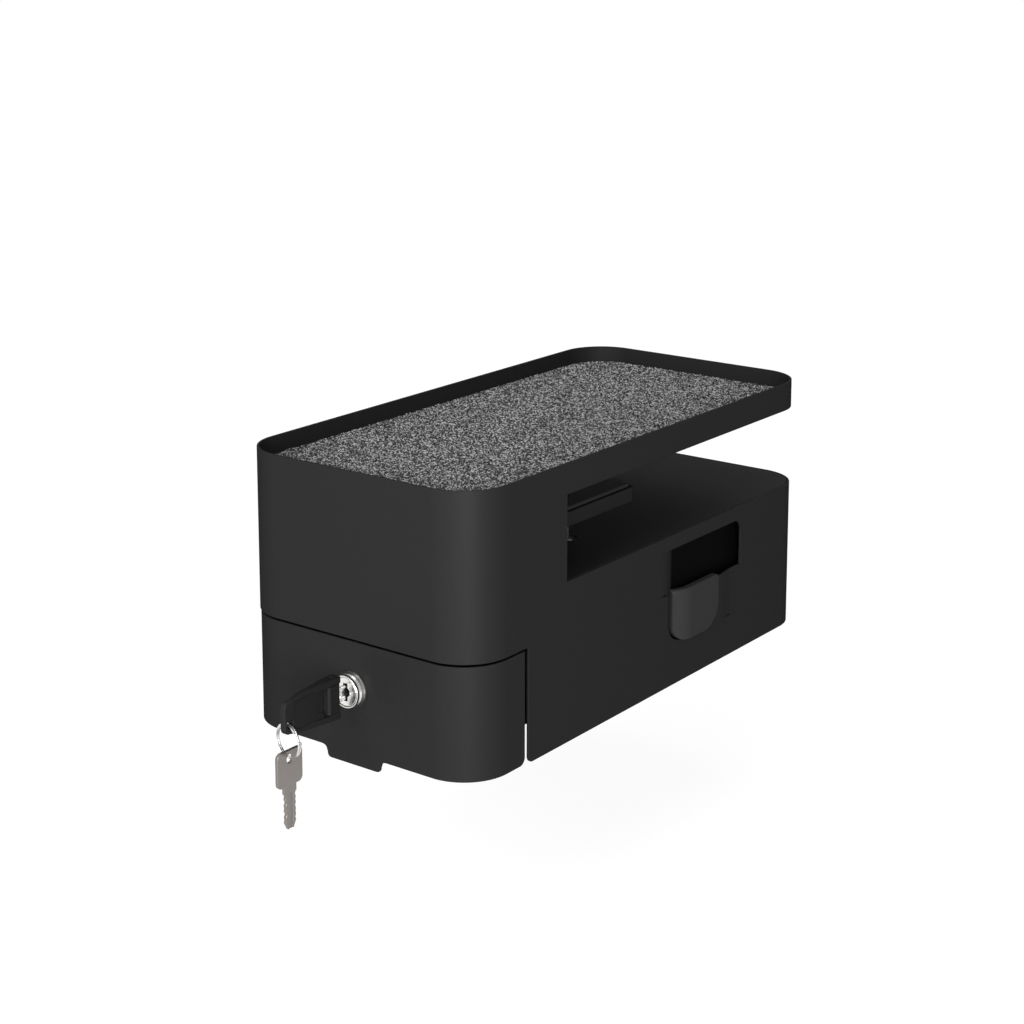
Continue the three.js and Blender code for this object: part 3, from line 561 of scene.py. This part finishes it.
def scatter(seed):
    """Geometry nodes that stand fibres on the upper side of a mesh."""
    group = bpy.data.node_groups.new(f"scatter_{seed}", "GeometryNodeTree")
    group.interface.new_socket("Geometry", in_out="INPUT", socket_type="NodeSocketGeometry")
    group.interface.new_socket("Geometry", in_out="OUTPUT", socket_type="NodeSocketGeometry")

    def add(kind, inputs=None, **options):
        made = group.nodes.new(kind)
        for name, value in options.items():
            setattr(made, name, value)
        for name, value in (inputs or {}).items():
            if isinstance(value, bpy.types.NodeSocket):
                group.links.new(value, made.inputs[name])
            else:
                made.inputs[name].default_value = value
        return made

    start = add("NodeGroupInput")
    facing = add("ShaderNodeSeparateXYZ", {0: add("GeometryNodeInputNormal").outputs[0]})
    upper = add("FunctionNodeCompare", {0: facing.outputs["Z"], 1: 0.5},
                data_type="FLOAT", operation="GREATER_THAN")
    points = add("GeometryNodeDistributePointsOnFaces",
                 {"Mesh": start.outputs[0], "Selection": upper.outputs[0],
                  "Density": FIBRES_PER_SQUARE_METRE, "Seed": seed}, distribute_method="RANDOM")
    tip_x, tip_y = FIBRE_TIP
    turn = add("FunctionNodeRandomValue",
               {0: (-tip_x, -tip_y, 0), 1: (tip_x, tip_y, math.tau), "Seed": seed + 1},
               data_type="FLOAT_VECTOR")
    size = add("FunctionNodeRandomValue",
               {2: FIBRE_SIZES[0], 3: FIBRE_SIZES[1], "Seed": seed + 2}, data_type="FLOAT")
    model = add("GeometryNodeObjectInfo", {"Object": fibre})
    placed = add("GeometryNodeInstanceOnPoints",
                 {"Points": points.outputs[0], "Instance": model.outputs["Geometry"],
                  "Rotation": turn.outputs[0], "Scale": size.outputs[1]})
    tone = add("FunctionNodeRandomValue", {2: 0.0, 3: 1.0, "Seed": seed + 3}, data_type="FLOAT")
    toned = add("GeometryNodeStoreNamedAttribute",
                {"Geometry": placed.outputs[0], "Name": "tone", "Value": tone.outputs[1]},
                data_type="FLOAT", domain="INSTANCE")
    real = add("GeometryNodeRealizeInstances", {"Geometry": toned.outputs[0]})
    end = add("NodeGroupOutput")
    group.links.new(real.outputs[0], end.inputs[0])
    return group


def fibre_finish():
    finish, tree, surface, place = begin("felt_fibre", Specular_IOR_Level=0.15, Roughness=0.9,
                                         Sheen_Weight=0.25)
    chance = shade(tree, "Attribute", attribute_name="tone").outputs["Fac"]
    tone = between(tree, chance, grey(0.006), grey(0.45), 0.46, 0.76)
    tree.links.new(tone, surface.inputs["Base Color"])
    relief(tree, surface, speckle(tree, place, 5000, 1), 0.00002)
    return finish


felt_fibre = fibre_finish()
for number in range(1, FIBRE_PIECES + 1):
    carrier = link(f"felt_fibres_{number}", felt_mesh.copy())
    grow = carrier.modifiers.new("scatter", "NODES")
    grow.node_group = scatter(10 * number)
    bpy.context.view_layer.update()
    evaluated = carrier.evaluated_get(bpy.context.evaluated_depsgraph_get())
    grown_mesh = bpy.data.meshes.new_from_object(evaluated)
    carrier.modifiers.clear()
    carrier.data = grown_mesh
    carrier.data.materials.clear()
    carrier.data.materials.append(felt_fibre)
    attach(carrier, body_of["tray_felt"])
    print(carrier.name, len(grown_mesh.polygons), "faces")
bpy.data.objects.remove(fibre)

# %% [markdown]
# ## The floor
# A product picture has a white floor. What the camera sees directly, in metal or through glass is
# white, and a light path node tells those rays from the rays that only carry light about. For the
# latter the floor is grey, so that black paint stays black. Near the locker a part of the floor's tone
# is real paint, which keeps a soft shadow. From below the floor lets the camera through, so that the
# underside can be looked at.

# %% Floor
FLOOR_LEVEL = -0.26
FLOOR_RADIUS = 6
FLOOR_GLOW = 0.85
FLOOR_SEEN = 0.22
FLOOR_BOUNCE = 0.35
FADE_START = 0.6
FADE_END = 2.0


def white_rays(tree):
    """1 for a ray that shows the room itself, and 0 for one that only brings light from it."""
    path = shade(tree, "LightPath")
    level = path.outputs["Is Camera Ray"]
    for name in ("Is Glossy Ray", "Is Transmission Ray"):
        both = shade(tree, "Math", {0: level, 1: path.outputs[name]}, operation="MAXIMUM")
        level = both.outputs["Value"]
    return level


form = bmesh.new()
bmesh.ops.create_circle(form, cap_ends=True, radius=FLOOR_RADIUS, segments=96,
                        matrix=Matrix.Translation((0, 0, FLOOR_LEVEL)))
floor_mesh = bpy.data.meshes.new("floor")
form.to_mesh(floor_mesh)
form.free()
floor = link("floor", floor_mesh)
paint = bpy.data.materials.new("floor_paint")
paint.use_nodes = True
tree = paint.node_tree
tree.nodes.clear()
place = shade(tree, "TexCoord").outputs["Object"]
reach = shade(tree, "VectorMath", {0: place}, operation="LENGTH").outputs["Value"]
fade = shade(tree, "MapRange", {"Value": reach, "From Min": FADE_START,
                                "From Max": FADE_END}).outputs["Result"]
shown = white_rays(tree)
tone = between(tree, shown, grey(FLOOR_BOUNCE), grey(FLOOR_SEEN), 0, 1)
matt = shade(tree, "BsdfDiffuse", {"Color": tone}).outputs["BSDF"]
glow_level = shade(tree, "Math", {0: shown, 1: FLOOR_GLOW}, operation="MULTIPLY").outputs["Value"]
glow = shade(tree, "Emission", {"Strength": glow_level}).outputs["Emission"]
near = shade(tree, "AddShader", {0: matt, 1: glow}).outputs["Shader"]
far = shade(tree, "Emission", {"Strength": 1.0}).outputs["Emission"]
part = shade(tree, "Math", {0: fade, 1: shown}, operation="MULTIPLY").outputs["Value"]
faded = shade(tree, "MixShader", {"Fac": part, 1: near, 2: far}).outputs["Shader"]
clear = shade(tree, "BsdfTransparent").outputs["BSDF"]
below = shade(tree, "NewGeometry").outputs["Backfacing"]
seen = shade(tree, "MixShader", {"Fac": below, 1: faded, 2: clear}).outputs["Shader"]
shade(tree, "OutputMaterial", {"Surface": seen})
floor.data.materials.append(paint)
print("floor at", FLOOR_LEVEL)

# %% [markdown]
# ## The room and the lamps
# The world brings only dim light, and is white for rays that come straight from the camera. What
# metal and paint mirror is white too, but darker towards the camera's side, where a photographer's
# room is dark. Four soft boxes light the locker: a low one beside the camera, which brightens the
# round corner, one in front, one above and one behind.

# %% World and lamps
WORLD_LEVEL = 0.25
ROOM_SHARE = 0.15
DARK_SIDE = -0.75
WHITE_SIDE = -0.1
world = bpy.data.worlds.new("white_room")
scene.world = world
world.use_nodes = True
tree = world.node_tree
tree.nodes.clear()
room = shade(tree, "Background", {"Color": (1, 1, 1, 1), "Strength": WORLD_LEVEL}).outputs["Background"]
white = shade(tree, "Background", {"Color": (1, 1, 1, 1), "Strength": 1.0}).outputs["Background"]
heading = shade(tree, "TexCoord").outputs["Generated"]
away = shade(tree, "VectorMath", {0: heading, 1: ahead}, operation="DOT_PRODUCT").outputs["Value"]
backdrop = shade(tree, "MapRange", {"Value": away, "From Min": DARK_SIDE, "From Max": WHITE_SIDE,
                                    "To Min": ROOM_SHARE, "To Max": 1.0}).outputs["Result"]
mirrored = shade(tree, "Math", {0: backdrop, 1: white_rays(tree)}, operation="MULTIPLY")
straight = shade(tree, "LightPath").outputs["Is Camera Ray"]
share = shade(tree, "Math", {0: mirrored.outputs["Value"], 1: straight}, operation="MAXIMUM")
mixed = shade(tree, "MixShader", {"Fac": share.outputs["Value"], 1: room, 2: white}).outputs["Shader"]
shade(tree, "OutputWorld", {"Surface": mixed})


def soft_box(name, azimuth, elevation, distance, side, power):
    lamp = bpy.data.lights.new(name, "AREA")
    lamp.size = side
    lamp.energy = power
    holder = bpy.data.objects.new(name, lamp)
    turn, tip = math.radians(azimuth), math.radians(elevation)
    way = Vector((math.sin(turn) * math.cos(tip), -math.cos(turn) * math.cos(tip), math.sin(tip)))
    holder.location = way * distance
    holder.rotation_euler = way.to_track_quat("Z", "Y").to_euler()
    scene.collection.objects.link(holder)
    return holder


soft_box("key_light", 42, 6, 1.7, 0.8, 27)
soft_box("front_light", 2, 20, 1.9, 1.0, 26)
soft_box("top_light", 150, 80, 2.2, 1.6, 12)
soft_box("back_light", 215, 20, 2.2, 1.2, 12)
scene.view_settings.view_transform = "Standard"
print("lamps set")
